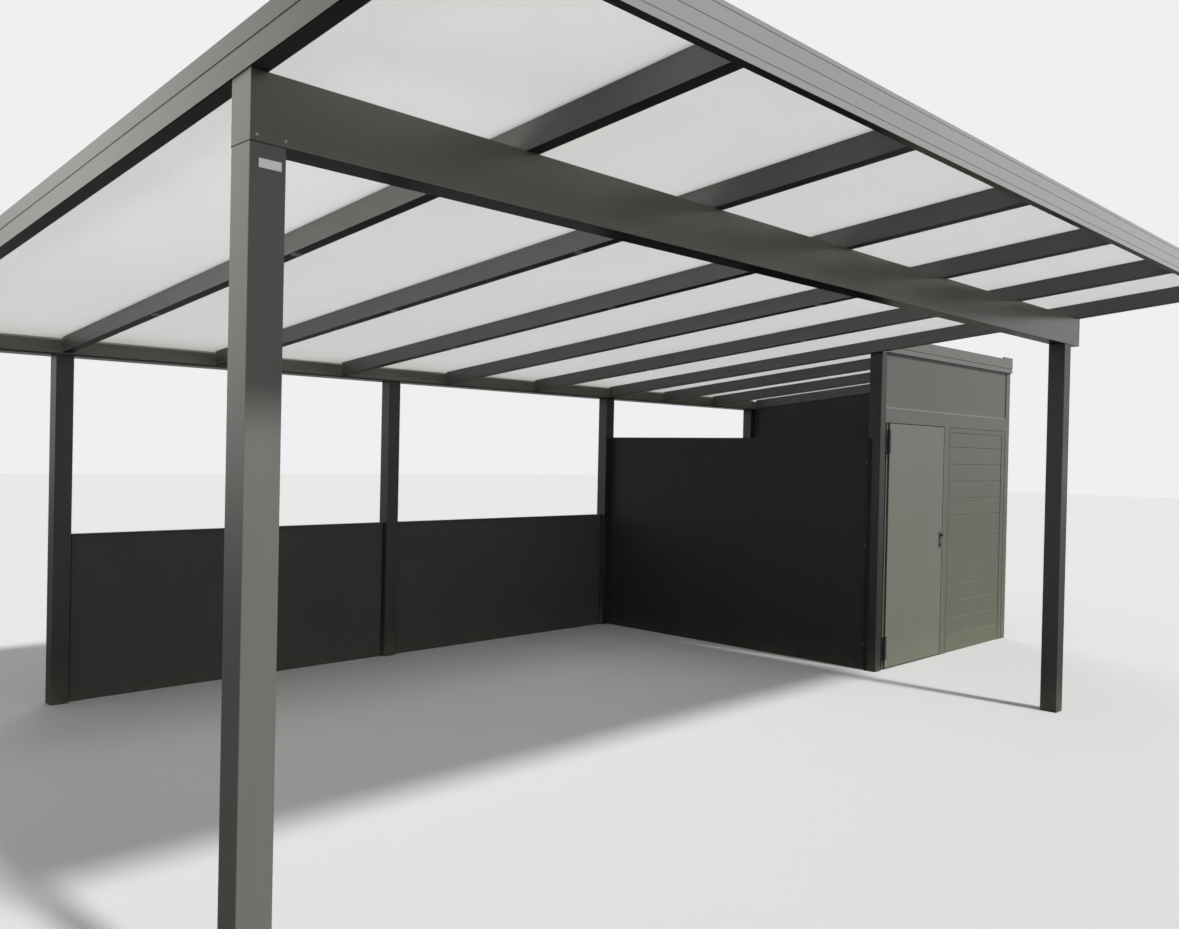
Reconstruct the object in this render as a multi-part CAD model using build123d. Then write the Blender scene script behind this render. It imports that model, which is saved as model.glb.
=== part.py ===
from build123d import *
import os

# Lean-to aluminium carport with a sheeted store at its far rear corner.
# Millimetres, +Z up. Origin: centre of the near front post's foot.
# +X runs along the front beam to the far front post, +Y runs to the rear.

# Posts and front beam
post_side = 110
corner_radius = 3
front_post_spacing = 6000
clear_height = 2560
beam_height = 196
beam_far_overhang = 156
end_cap_thickness = 4

# Roof
roof_fall = 0.0973
front_overhang = 899
rafter_width = 60
rafter_height = 98
first_rafter_x = 984
roof_bays = 6
last_bay_less = 21
stem_width = 16
sheet_thickness = 16
sheet_side_play = 2
cap_strip_thickness = 6
verge_width = 52
verge_height = 134
verge_ledge = 18
trim_thickness = 8
trim_groove_height = 70
groove_depth = 3
groove_width = 12
fascia_height = 137
fascia_thickness = 34
fascia_top_flange = 71
fascia_flange_thickness = 5
cap_strip_gap = 1
fascia_notch_height = 24
fascia_notch_width = 5
fascia_channel_width = 15
fascia_low_channel = 59
fascia_high_channel = 107

# Gutter beam along the low side
gutter_front_y = 4466
gutter_width = 200
gutter_face_height = 98
gutter_lip_drop = 18
gutter_back_rise = 28
sheet_overhang = 60
gutter_wall = 4
gutter_chamfer = 12
gutter_lip_return = 14
rear_post_setback = 30
near_rear_span = 2589

# Store
store_front_y = 1465
store_front_post_width = 85
store_front_post_depth = 107
door_post_offset = 238
near_rear_corner_offset = 200
store_length = 2480
wall_air_gap = 393
wall_thickness = 30
near_wall_offset = 20
far_wall_inset = 34
head_panel_height = 440
rail_height = 130
rail_depth = 60
rail_lip = 14
front_skin_thickness = 30
front_skin_setback = 8
store_fascia_height = 131
store_fascia_rise = 4
store_fascia_thickness = 16
store_fascia_lip = 18
store_fascia_groove = 26
store_fascia_groove_depth = 12
corner_cap_width = 200
corner_cap_rise = 16
store_bays = 3
last_store_bay_less = 24
seal_strip_width = 30
seal_strip_thickness = 3
seal_strip_inset = 4

# Door
door_hinge_gap = 72
door_width = 976
door_thickness = 40
door_bottom_gap = 12
door_head_gap = 6
door_side_gap = 8
door_stop_lap = 12
door_stop_gap = 6
stile_width = 100
jamb_recess_width = 35
jamb_recess_depth = 18
jamb_strip_width = 15
hinge_height = 190
hinge_radius = 10
hinge_plate_thickness = 3
hinge_door_lap = 16
hinge_pin_inset = 38
knuckle_bite = 1
hinge_low_z = 180
hinge_top_inset = 152
knuckle_gap = 1
pin_radius = 4
pin_play = 0.05
handle_backset = 41
handle_z = 1034
handle_plate_width = 30
handle_plate_height = 140
handle_plate_thickness = 5
knob_radius = 14
knob_reach = 16
knob_neck_radius = 8
knob_thickness = 8
lock_radius = 9
lock_reach = 6
lock_spacing = 84

# Infill panels
board_height = 155
board_groove = 8
board_frame_width = 72
board_frame_head = 45
board_frame_slim = 30
board_frame_proud = 4
board_slot_width = 14
board_slot_depth = 10
low_panel_height = 1112
panel_thickness = 34
side_gap = 16
fixing_bar_thickness = 14
cap_rail_width = 46
cap_rail_height = 8

# Derived positions
half_post = post_side / 2
beam_top_front = clear_height + beam_height
beam_near_x = -half_post
beam_far_x = front_post_spacing + half_post + beam_far_overhang
fascia_front_y = -half_post - front_overhang
rafter_front_y = fascia_front_y + fascia_thickness
far_rafter_x = beam_far_x - rafter_width
near_trim_x = beam_near_x - trim_thickness
far_trim_x = beam_far_x + trim_thickness
rafter_pitch = (far_rafter_x + rafter_width / 2 + last_bay_less - first_rafter_x) / (roof_bays - 1)
middle_rear_post_x = first_rafter_x + near_rear_span
near_rear_corner_x = front_post_spacing + near_rear_corner_offset
far_corner_x = near_rear_corner_x + store_length
door_post_x = front_post_spacing + door_post_offset
store_far_x = far_corner_x + half_post
near_wall_x = near_rear_corner_x + near_wall_offset
far_wall_x = store_far_x - far_wall_inset - wall_thickness
store_end_rafter_x = store_far_x - verge_width
store_rafter_pitch = (store_end_rafter_x + last_store_bay_less - far_rafter_x) / store_bays
rear_post_y = gutter_front_y + rear_post_setback + half_post
store_post_y = store_front_y + store_front_post_depth / 2
store_far_post_x = store_far_x - store_front_post_width / 2
infill_y = rear_post_y - panel_thickness / 2
sheet_overlap_y = gutter_front_y + sheet_overhang


def underside(y):
    return beam_top_front - roof_fall * (y + half_post)


gutter_lip_z = underside(gutter_front_y) + rafter_height - gutter_lip_drop
gutter_bottom_z = gutter_lip_z - gutter_face_height
gutter_back_z = gutter_lip_z + gutter_back_rise
wall_height = gutter_bottom_z - wall_air_gap
rail_top_z = underside(store_front_y) - head_panel_height
rail_bottom_z = rail_top_z - rail_height
front_panel_y = store_front_y + front_skin_setback


def sloped_bar(x0, x1, y0, y1, low, high):
    with BuildPart() as bar:
        with BuildSketch(Plane.YZ.offset(x0)):
            Polygon(
                (y0, underside(y0) + low),
                (y1, underside(y1) + low),
                (y1, underside(y1) + high),
                (y0, underside(y0) + high),
                align=None,
            )
        extrude(amount=x1 - x0)
    return bar.part


def block(x0, x1, y0, y1, z0, z1):
    return Pos((x0 + x1) / 2, (y0 + y1) / 2, (z0 + z1) / 2) * Box(x1 - x0, y1 - y0, z1 - z0)


def post(x, y, top, width=post_side, depth=post_side):
    with BuildPart() as column:
        with BuildSketch(Plane.XY):
            with Locations((x, y)):
                RectangleRounded(width, depth, corner_radius)
        extrude(amount=top)
    return column.part


def above_roof_plane(x0, x1, y0, y1):
    # Everything over the rafters' undersides, to cut tops to the roof's fall.
    return sloped_bar(x0 - post_side, x1 + post_side, y0 - post_side, y1 + post_side, 0, clear_height)


def store_front_post(x, y):
    top = underside(y - store_front_post_depth / 2)
    column = post(x, y, top, store_front_post_width, store_front_post_depth)
    return column - above_roof_plane(x, x, y, y)


def profile_along_x(points, x0, x1):
    with BuildPart() as run:
        with BuildSketch(Plane.YZ.offset(x0)):
            Polygon(*points, align=None)
        extrude(amount=x1 - x0)
    return run.part


def grooved_outline(height, thickness):
    # Cross-section of stacked boards: V grooves on both faces, from the floor up.
    joints = [board_height * n for n in range(1, int(height / board_height) + 1)]
    joints = [z for z in joints if z < height - board_height / 3]
    half = board_groove / 2
    front = [(0, 0)]
    back = [(thickness, 0)]
    for z in joints:
        front += [(0, z - half), (half, z), (0, z + half)]
        back += [(thickness, z - half), (thickness - half, z), (thickness, z + half)]
    front.append((0, height))
    back.append((thickness, height))
    return front + back[::-1]


def boarded_x(x0, x1, y0, height, thickness):
    outline = [(y0 + d, z) for d, z in grooved_outline(height, thickness)]
    return profile_along_x(outline, x0, x1)


def side_bars_x(a, b, top):
    # Slim upright bars in the gaps between a panel's ends and its posts.
    y0 = infill_y + (panel_thickness - fixing_bar_thickness) / 2
    y1 = y0 + fixing_bar_thickness
    return [block(a, a + side_gap, y0, y1, 0, top), block(b - side_gap, b, y0, y1, 0, top)]


def side_bars_y(x, a, b, top):
    x0 = x + (wall_thickness - fixing_bar_thickness) / 2
    x1 = x0 + fixing_bar_thickness
    return [block(x0, x1, a, a + side_gap, 0, top), block(x0, x1, b - side_gap, b, 0, top)]


def keep(name, *solids):
    shape = solids[0] if len(solids) == 1 else Compound(children=list(solids))
    export_step(shape, "parts/" + name + ".step")


os.makedirs("parts", exist_ok=True)

# Front posts and the beam on them, its top cut to the roof's fall
keep("near_front_post", post(0, 0, clear_height))
keep("far_front_post", post(front_post_spacing, 0, clear_height))
beam_section = [
    (-half_post, clear_height),
    (half_post, clear_height),
    (half_post, underside(half_post)),
    (-half_post, beam_top_front),
]
beam_body = profile_along_x(beam_section, beam_near_x + end_cap_thickness, beam_far_x - end_cap_thickness)
keep("front_beam", beam_body)
keep(
    "front_beam_end_caps",
    profile_along_x(beam_section, beam_near_x, beam_near_x + end_cap_thickness),
    profile_along_x(beam_section, beam_far_x - end_cap_thickness, beam_far_x),
)

# Rear posts under the gutter beam
keep("near_rear_post", post(first_rafter_x, rear_post_y, gutter_bottom_z))
keep("middle_rear_post", post(middle_rear_post_x, rear_post_y, gutter_bottom_z))
keep("store_near_rear_post", post(near_rear_corner_x, rear_post_y, gutter_bottom_z))
keep("store_far_rear_post", post(far_corner_x, rear_post_y, gutter_bottom_z))
keep("store_door_post", store_front_post(door_post_x, store_post_y))
keep("store_far_front_post", store_front_post(store_far_post_x, store_post_y))

# Gutter beam: one folded section with an inward lip at the front
g = gutter_wall
gy0 = gutter_front_y
gy1 = gutter_front_y + gutter_width
gz = gutter_bottom_z
gutter_section = [
    (gy0, gz + gutter_chamfer),
    (gy0 + gutter_chamfer, gz),
    (gy1, gz),
    (gy1, gutter_back_z),
    (gy1 - g, gutter_back_z),
    (gy1 - g, gz + g),
    (gy0 + gutter_chamfer + g / 2, gz + g),
    (gy0 + g, gz + gutter_chamfer + g / 2),
    (gy0 + g, gutter_lip_z - g),
    (gy0 + gutter_lip_return, gutter_lip_z - g),
    (gy0 + gutter_lip_return, gutter_lip_z),
    (gy0, gutter_lip_z),
]
keep("rear_gutter_beam", profile_along_x(gutter_section, beam_near_x, store_far_x))
gutter_end = [
    (gy0, gz + gutter_chamfer),
    (gy0 + gutter_chamfer, gz),
    (gy1, gz),
    (gy1, gutter_back_z),
    (gy0, gutter_lip_z),
]
keep(
    "gutter_end_caps",
    profile_along_x(gutter_end, beam_near_x - end_cap_thickness, beam_near_x),
    profile_along_x(gutter_end, store_far_x, store_far_x + end_cap_thickness),
)

# Rafters with a stem between the sheets they carry
stem_inset = (rafter_width - stem_width) / 2
stem_top = rafter_height + sheet_thickness


def rafter(x, y0):
    body = sloped_bar(x, x + rafter_width, y0, gutter_front_y, 0, rafter_height)
    stem_x = x + stem_inset
    return body + sloped_bar(stem_x, stem_x + stem_width, y0, gutter_front_y, rafter_height, stem_top)


first_face = first_rafter_x - rafter_width / 2
rafter_faces = [first_face + rafter_pitch * n for n in range(roof_bays - 1)]
store_rafter_faces = [far_rafter_x + store_rafter_pitch * (n + 1) for n in range(store_bays - 1)]
keep("carport_rafters", *[rafter(x, rafter_front_y) for x in rafter_faces])
keep("store_rafters", *[rafter(x, store_front_y) for x in store_rafter_faces])

verge_inner_x = beam_near_x + verge_width
near_curb_x = verge_inner_x - verge_ledge
near_verge = sloped_bar(beam_near_x, verge_inner_x, rafter_front_y, gutter_front_y, 0, rafter_height)
near_verge += sloped_bar(
    beam_near_x,
    near_curb_x,
    rafter_front_y,
    gutter_front_y,
    rafter_height,
    verge_height,
)
keep("near_verge_rafter", near_verge)

far_curb_x = far_rafter_x + stem_inset + stem_width
far_verge = rafter(far_rafter_x, rafter_front_y)
far_verge += sloped_bar(
    far_curb_x,
    beam_far_x,
    rafter_front_y,
    store_front_y - store_fascia_thickness,
    rafter_height,
    verge_height,
)
keep("far_verge_rafter", far_verge)

end_rafter = sloped_bar(store_end_rafter_x, store_far_x, store_front_y, gutter_front_y, 0, rafter_height)
end_rafter += sloped_bar(
    store_end_rafter_x + verge_ledge,
    store_far_x,
    store_front_y,
    gutter_front_y,
    rafter_height,
    verge_height,
)
keep("store_end_rafter", end_rafter)


# Verge trims with one groove along the outer face
def verge_trim(x0, outward, y0, y1):
    x1 = x0 + outward * trim_thickness
    left, right = sorted((x0, x1))
    plate = sloped_bar(left, right, y0, y1, 0, verge_height)
    cut_left, cut_right = sorted((x1 - outward * groove_depth, x1 + outward * groove_depth))
    groove_low = trim_groove_height - groove_width / 2
    groove = sloped_bar(cut_left, cut_right, y0, y1, groove_low, groove_low + groove_width)
    return plate - groove


keep("near_verge_trim", verge_trim(beam_near_x, -1, rafter_front_y, gutter_front_y))
keep("far_verge_trim", verge_trim(beam_far_x, 1, rafter_front_y, store_front_y - store_fascia_thickness))
keep("store_verge_trim", verge_trim(store_far_x, 1, store_front_y, gutter_front_y))

# Front fascia: a box with a notch and two shallow channels in its face,
# a top flange over the sheets' ends and a lip down to them
fy = fascia_front_y
fz = underside(rafter_front_y)
flange_back = fy + fascia_top_flange
cap_front_y = flange_back + cap_strip_gap
lip_bottom = underside(flange_back - fascia_flange_thickness) + stem_top
half_notch = fascia_notch_width / 2
notch_z = fz + fascia_notch_height
fascia_section = [
    (fy, fz),
    (fy, notch_z - half_notch),
    (fy + half_notch, notch_z),
    (fy, notch_z + half_notch),
]
for channel in (fascia_low_channel, fascia_high_channel):
    low = fz + channel
    high = low + fascia_channel_width
    fascia_section += [
        (fy, low),
        (fy + groove_depth, low + groove_depth),
        (fy + groove_depth, high - groove_depth),
        (fy, high),
    ]
fascia_section += [
    (fy, fz + fascia_height),
    (flange_back, fz + fascia_height),
    (flange_back, lip_bottom),
    (flange_back - fascia_flange_thickness, lip_bottom),
    (flange_back - fascia_flange_thickness, fz + fascia_height - fascia_flange_thickness),
    (rafter_front_y, fz + fascia_height - fascia_flange_thickness),
    (rafter_front_y, fz),
]
fascia = profile_along_x(fascia_section, near_trim_x, far_trim_x)
for notch_a, notch_b in ((near_trim_x, near_curb_x), (far_curb_x, far_trim_x)):
    fascia -= sloped_bar(notch_a, notch_b, rafter_front_y, cap_front_y, 0, verge_height)
keep("front_fascia", fascia)

# Store fascia: a drip lip, a deep groove and a plain face, with a raised end at the far corner
sy = store_front_y - store_fascia_thickness
sz = underside(store_front_y) + store_fascia_rise
store_fascia_top = sz + store_fascia_height
groove_low = sz + store_fascia_lip
groove_high = groove_low + store_fascia_groove
store_fascia_section = [
    (store_front_y, sz),
    (store_front_y, store_fascia_top),
    (sy, store_fascia_top),
    (sy, groove_high),
    (sy + store_fascia_groove_depth, groove_high),
    (sy + store_fascia_groove_depth, groove_low),
    (sy, groove_low),
    (sy, sz),
]
cap_x1 = store_far_x + trim_thickness
store_fascia = profile_along_x(store_fascia_section, far_trim_x, cap_x1)
store_fascia += block(
    cap_x1 - corner_cap_width,
    cap_x1,
    sy,
    store_front_y,
    store_fascia_top,
    store_fascia_top + corner_cap_rise,
)
keep("store_fascia", store_fascia)


# Roof sheets between the rafters
def sheet(x0, x1, y0):
    left = x0 + sheet_side_play
    right = x1 - sheet_side_play
    return sloped_bar(left, right, y0, sheet_overlap_y, rafter_height, stem_top)


stem_faces = [x + stem_inset for x in rafter_faces] + [far_rafter_x + stem_inset]
bay_starts = [near_curb_x] + [x + stem_width for x in stem_faces[:-1]]
keep("carport_roof_sheets", *[sheet(a, b, rafter_front_y) for a, b in zip(bay_starts, stem_faces)])

store_stems = [far_rafter_x + stem_inset] + [x + stem_inset for x in store_rafter_faces]
store_ends = store_stems[1:] + [store_end_rafter_x + verge_ledge]
store_spans = [(a + stem_width, b) for a, b in zip(store_stems, store_ends)]
keep("store_roof_sheets", *[sheet(a, b, store_front_y) for a, b in store_spans])


# Cap strips over the stems
def cap_strip(x, y0):
    return sloped_bar(x, x + rafter_width, y0, gutter_front_y, stem_top, stem_top + cap_strip_thickness)


keep("carport_cap_strips", *[cap_strip(x, cap_front_y) for x in rafter_faces])
keep("store_cap_strips", *[cap_strip(x, store_front_y) for x in store_rafter_faces])

# Low panels along the rear between the posts, each under a cap rail
rear_posts_x = [first_rafter_x, middle_rear_post_x, near_rear_corner_x]
spans = [(a + half_post, b - half_post) for a, b in zip(rear_posts_x, rear_posts_x[1:])]
panel_back_y = infill_y + panel_thickness
low_panels = []
low_bars = []
for a, b in spans:
    low_panels.append(block(a + side_gap, b - side_gap, infill_y, panel_back_y, 0, low_panel_height))
    low_bars += side_bars_x(a, b, low_panel_height)
keep("rear_low_panels", *low_panels)
keep("low_panel_side_bars", *low_bars)
cap_y = infill_y + panel_thickness / 2 - cap_rail_width / 2
cap_top = low_panel_height + cap_rail_height
keep(
    "low_panel_cap_rails",
    *[block(a, b, cap_y, cap_y + cap_rail_width, low_panel_height, cap_top) for a, b in spans],
)

# Store walls
wall_a = store_front_y + store_front_post_depth
wall_b = rear_post_y - half_post
panel_a = wall_a + side_gap
panel_b = wall_b - side_gap
near_wall = block(near_wall_x, near_wall_x + wall_thickness, panel_a, panel_b, 0, wall_height)
keep("store_near_wall", near_wall)
seal_x = door_post_x - store_front_post_width / 2
seal_b = wall_a - seal_strip_inset
seal_strip = block(seal_x - seal_strip_thickness, seal_x, seal_b - seal_strip_width, seal_b, 0, wall_height)
keep("near_wall_side_bars", *side_bars_y(near_wall_x, wall_a, wall_b, wall_height), seal_strip)

# The far wall rises to the end rafter and stops under the gutter beam
tall = underside(wall_a)
far_top_cut = above_roof_plane(far_wall_x, far_wall_x + wall_thickness, wall_a, wall_b)
far_top_cut += block(
    far_wall_x - post_side,
    far_wall_x + post_side,
    gutter_front_y,
    wall_b + post_side,
    gutter_bottom_z,
    tall + post_side,
)
far_wall = block(far_wall_x, far_wall_x + wall_thickness, panel_a, panel_b, 0, tall)
keep("store_far_wall", far_wall - far_top_cut)
keep("far_wall_side_bars", *[bar - far_top_cut for bar in side_bars_y(far_wall_x, wall_a, wall_b, tall)])

rear_a = near_rear_corner_x + half_post
rear_b = far_corner_x - half_post
keep("store_rear_wall", block(rear_a + side_gap, rear_b - side_gap, infill_y, panel_back_y, 0, wall_height))
keep("rear_wall_side_bars", *side_bars_x(rear_a, rear_b, wall_height))

# Store front: transom rail, plain panel over it, boarded panel beside the door
front_a = door_post_x + store_front_post_width / 2
front_b = store_far_x - store_front_post_width
door_left_x = front_a + door_hinge_gap
door_right_x = door_left_x + door_width
rail_back_y = store_front_y + rail_depth
stop_y = store_front_y + door_thickness + door_stop_gap
stop_left_x = door_left_x + door_stop_lap
stop_right_x = door_right_x - door_stop_lap
rail_section = [
    (store_front_y, rail_bottom_z),
    (rail_back_y, rail_bottom_z),
    (rail_back_y, rail_top_z),
    (front_panel_y, rail_top_z),
    (store_front_y, rail_top_z - rail_lip),
]
head_stop_z = rail_bottom_z - door_head_gap - door_stop_lap
transom = profile_along_x(rail_section, front_a, front_b)
transom += block(stop_left_x, stop_right_x, stop_y, rail_back_y, head_stop_z, rail_bottom_z)
keep("store_transom_rail", transom)
front_panel_back = front_panel_y + front_skin_thickness
head = block(front_a, front_b, front_panel_y, front_panel_back, rail_top_z, underside(store_front_y))
keep("store_head_panel", head - above_roof_plane(front_a, front_b, front_panel_y, front_panel_back))

# Stile and hinge jamb, each with a stop behind the leaf's edge
def upright(points):
    with BuildPart() as profile:
        with BuildSketch(Plane.XY):
            Polygon(*points, align=None)
        extrude(amount=rail_bottom_z)
    return profile.part


stile_x = door_right_x + door_side_gap
board_a = stile_x + stile_width
stile_section = [
    (stile_x, store_front_y),
    (board_a, store_front_y),
    (board_a, rail_back_y),
    (stop_right_x, rail_back_y),
    (stop_right_x, stop_y),
    (stile_x, stop_y),
]
keep("door_closing_stile", upright(stile_section))

recess_y = store_front_y + jamb_recess_depth
strip_a = front_a + jamb_recess_width
strip_b = strip_a + jamb_strip_width
jamb_section = [
    (front_a, recess_y),
    (strip_a, recess_y),
    (strip_a, front_panel_y),
    (strip_b, front_panel_y),
    (strip_b, stop_y),
    (stop_left_x, stop_y),
    (stop_left_x, rail_back_y),
    (front_a, rail_back_y),
]
keep("door_hinge_jamb", upright(jamb_section))

# Boarded panel in its frame, a narrow slot beside the stile
frame_y = front_panel_y - board_frame_proud
inner_a = board_a + board_frame_slim
inner_b = front_b - board_frame_width
inner_top = rail_bottom_z - board_frame_head
slot_b = board_a + board_slot_width
board_frame = block(board_a, front_b, frame_y, front_panel_back, 0, rail_bottom_z)
board_frame -= block(inner_a, inner_b, frame_y, front_panel_back, 0, inner_top)
board_frame -= block(board_a, slot_b, frame_y, frame_y + board_slot_depth, 0, rail_bottom_z)
keep("front_board_frame", board_frame)
keep("store_front_boards", boarded_x(inner_a, inner_b, front_panel_y, inner_top, front_skin_thickness))

# Door leaf, its two hinges and its handle
door_top_z = rail_bottom_z - door_head_gap
leaf_y1 = store_front_y + door_thickness
door_leaf = block(door_left_x, door_right_x, store_front_y, leaf_y1, door_bottom_gap, door_top_z)
keep("door_leaf", door_leaf)

pin_x = front_a + hinge_pin_inset
hinge_face_y = store_front_y - hinge_plate_thickness
pin_y = hinge_face_y - hinge_radius + knuckle_bite
half_hinge = hinge_height / 2
plate_clear = hinge_radius + knuckle_gap


def hinge_half(z, side, plate_end, plate_back, low, high):
    # A knuckle from low to high with a web to its full-height plate beside the barrel.
    # Side -1 is fixed in the jamb's recess, side 1 is fixed to the leaf.
    knuckle = Pos(pin_x, pin_y, z + (low + high) / 2) * Cylinder(hinge_radius, high - low)
    plate_start = pin_x + side * plate_clear
    web_left, web_right = sorted((pin_x, plate_start))
    web = block(web_left, web_right, hinge_face_y, store_front_y, z + low, z + high)
    left, right = sorted((plate_start, plate_end))
    plate = block(left, right, hinge_face_y, plate_back, z - half_hinge, z + half_hinge)
    return knuckle + web + plate


def hinge_pin(radius, z, top):
    return Pos(pin_x, pin_y, z + top / 2) * Cylinder(radius, top)


fixed_halves = []
moving_halves = []
for z in (hinge_low_z, door_top_z - hinge_top_inset):
    lower = hinge_half(z, -1, front_a, recess_y, -half_hinge, -knuckle_gap / 2)
    fixed_halves.append(lower + Pos(0, 0, -knuckle_gap) * hinge_pin(pin_radius, z, half_hinge))
    upper = hinge_half(z, 1, door_left_x + hinge_door_lap, store_front_y, knuckle_gap / 2, half_hinge)
    bore = hinge_pin(pin_radius + pin_play, z - knuckle_gap, half_hinge + knuckle_gap * 2)
    moving_halves.append(upper - bore)
keep("hinge_post_plates", *fixed_halves)
keep("hinge_door_plates", *moving_halves)

handle_x = door_right_x - handle_backset
plate_y = store_front_y - handle_plate_thickness
handle = block(
    handle_x - handle_plate_width / 2,
    handle_x + handle_plate_width / 2,
    plate_y,
    store_front_y,
    handle_z - handle_plate_height / 2,
    handle_z + handle_plate_height / 2,
)
knob_z = handle_z + lock_spacing / 2
lock_z = handle_z - lock_spacing / 2
across = Rot(90, 0, 0)
handle += Pos(handle_x, plate_y - knob_reach / 2, knob_z) * (across * Cylinder(knob_neck_radius, knob_reach))
knob_y = plate_y - knob_reach - knob_thickness / 2
handle += Pos(handle_x, knob_y, knob_z) * (across * Cylinder(knob_radius, knob_thickness))
handle += Pos(handle_x, plate_y - lock_reach / 2, lock_z) * (across * Cylinder(lock_radius, lock_reach))
keep("door_handle", handle)
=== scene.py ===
import math

import bmesh
import bpy
from mathutils import Matrix, Vector


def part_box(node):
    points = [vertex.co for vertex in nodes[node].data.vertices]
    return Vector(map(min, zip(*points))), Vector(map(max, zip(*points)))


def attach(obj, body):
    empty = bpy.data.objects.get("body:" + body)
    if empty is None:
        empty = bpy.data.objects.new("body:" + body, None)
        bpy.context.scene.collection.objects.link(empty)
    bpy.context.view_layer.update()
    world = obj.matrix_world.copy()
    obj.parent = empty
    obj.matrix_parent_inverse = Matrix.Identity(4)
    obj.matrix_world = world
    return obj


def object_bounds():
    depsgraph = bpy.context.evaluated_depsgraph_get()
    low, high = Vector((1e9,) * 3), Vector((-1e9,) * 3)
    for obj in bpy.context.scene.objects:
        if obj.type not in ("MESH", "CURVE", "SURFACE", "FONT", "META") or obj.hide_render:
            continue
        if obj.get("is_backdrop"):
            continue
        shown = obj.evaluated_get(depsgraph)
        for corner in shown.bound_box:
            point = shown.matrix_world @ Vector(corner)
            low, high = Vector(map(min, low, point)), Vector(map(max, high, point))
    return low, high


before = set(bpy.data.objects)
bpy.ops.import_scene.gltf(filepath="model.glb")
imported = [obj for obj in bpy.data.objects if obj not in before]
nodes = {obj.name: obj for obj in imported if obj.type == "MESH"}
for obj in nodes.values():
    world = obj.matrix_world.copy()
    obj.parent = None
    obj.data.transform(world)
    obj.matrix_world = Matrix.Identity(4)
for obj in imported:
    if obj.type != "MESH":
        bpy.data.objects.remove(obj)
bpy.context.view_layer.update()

# Looks for a lean-to aluminium carport with opal roof sheets and a store.
# Metres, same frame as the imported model: X along the front beam, Y to the rear, Z up.


# Shader maths: a wrapped socket that adds, multiplies and so on by making Math nodes
class Wire:
    def __init__(self, paint, socket):
        self.paint = paint
        self.socket = socket

    def __add__(self, other):
        return self.paint.maths("ADD", self, other)

    def __radd__(self, other):
        return self.paint.maths("ADD", other, self)

    def __sub__(self, other):
        return self.paint.maths("SUBTRACT", self, other)

    def __rsub__(self, other):
        return self.paint.maths("SUBTRACT", other, self)

    def __mul__(self, other):
        return self.paint.maths("MULTIPLY", self, other)

    def __rmul__(self, other):
        return self.paint.maths("MULTIPLY", other, self)

    def __truediv__(self, other):
        return self.paint.maths("DIVIDE", self, other)

    def __rtruediv__(self, other):
        return self.paint.maths("DIVIDE", other, self)

    def __pow__(self, other):
        return self.paint.maths("POWER", self, other)

    def __rpow__(self, other):
        return self.paint.maths("POWER", other, self)

    def __abs__(self):
        return self.paint.maths("ABSOLUTE", self)

    def __gt__(self, other):
        return self.paint.maths("GREATER_THAN", self, other)

    def __lt__(self, other):
        return self.paint.maths("LESS_THAN", self, other)

    def held(self):
        # Kept between 0 and 1
        return self.paint.maths("ADD", self, 0.0, hold=True)


class Paint:
    def __init__(self, name, owners=bpy.data.materials, output="ShaderNodeOutputMaterial"):
        self.owner = owners.new(name)
        self.owner.use_nodes = True
        self.tree = self.owner.node_tree
        self.tree.nodes.clear()
        self.output = output
        self.place = self.node("ShaderNodeTexCoord", pick="Object")

    def node(self, kind, settings=None, feeds=None, pick=0):
        made = self.tree.nodes.new(kind)
        for key, value in (settings or {}).items():
            setattr(made, key, value)
        for key, value in (feeds or {}).items():
            self.feed(made.inputs[key], value)
        return None if pick is None else Wire(self, made.outputs[pick])

    def feed(self, socket, value):
        if isinstance(value, Wire):
            self.tree.links.new(value.socket, socket)
        elif socket.type == "RGBA":
            socket.default_value = (*value, 1)
        else:
            socket.default_value = value

    def maths(self, operation, first, second=0.0, hold=False):
        settings = {"operation": operation, "use_clamp": hold}
        return self.node("ShaderNodeMath", settings, {0: first, 1: second})

    def mix(self, share, first, second, how="MIX"):
        settings = {"data_type": "RGBA", "blend_type": how}
        return self.node("ShaderNodeMix", settings, {0: share, 6: first, 7: second}, pick=2)

    def tint(self, colour, shade):
        return self.node("ShaderNodeVectorMath", {"operation": "SCALE"}, {0: colour, "Scale": shade})

    def stretched(self, along):
        return self.node("ShaderNodeMapping", None, {"Vector": self.place, "Scale": along})

    def noise(self, scale, detail=2.0, at=None):
        feeds = {"Vector": at or self.place, "Scale": scale, "Detail": detail}
        return self.node("ShaderNodeTexNoise", None, feeds, pick="Fac")

    def axis(self, name):
        return self.node("ShaderNodeSeparateXYZ", None, {0: self.place}, pick=name)

    def facing(self, name):
        normal = self.node("ShaderNodeNewGeometry", pick="Normal")
        return self.node("ShaderNodeSeparateXYZ", None, {0: normal}, pick=name)

    def bump(self, height, strength, distance):
        feeds = {"Strength": strength, "Distance": distance, "Height": height}
        return self.node("ShaderNodeBump", None, feeds, pick="Normal")

    def shader(self, feeds):
        return self.node("ShaderNodeBsdfPrincipled", None, feeds)

    def finish(self, shader):
        self.node(self.output, None, {"Surface": shader}, pick=None)
        return self.owner


# Fine-structure powder coat: slow clouding, rain marks on upright faces, dust on top faces and
# low down, painted shade on the undersides, and a thin dust film that thickens towards the ground.
# Patches are noise times the first value less the second; a fade is how fast a face's share changes.
coatDetail = {
    "fineScale": 9,
    "fineShade": 0.15,
    "grainScale": 700,
    "grainDepth": 0.0004,
    "uprightFade": 1.6,
    "splashPatches": (1.6, 0.3),
    "dustFrom": 0.55,
    "dustFade": 2.2,
    "dustPatches": (1.5, 0.2),
    "undersideShadeFade": (5, 4),
    "dustTone": (0.31, 0.295, 0.20),
    "cloudRoughness": 0.06,
    "fineRoughness": 0.02,
    "dustRoughness": 0.3,
}


def patches(noise, levels):
    return (noise * levels[0] - levels[1]).held()


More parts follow.
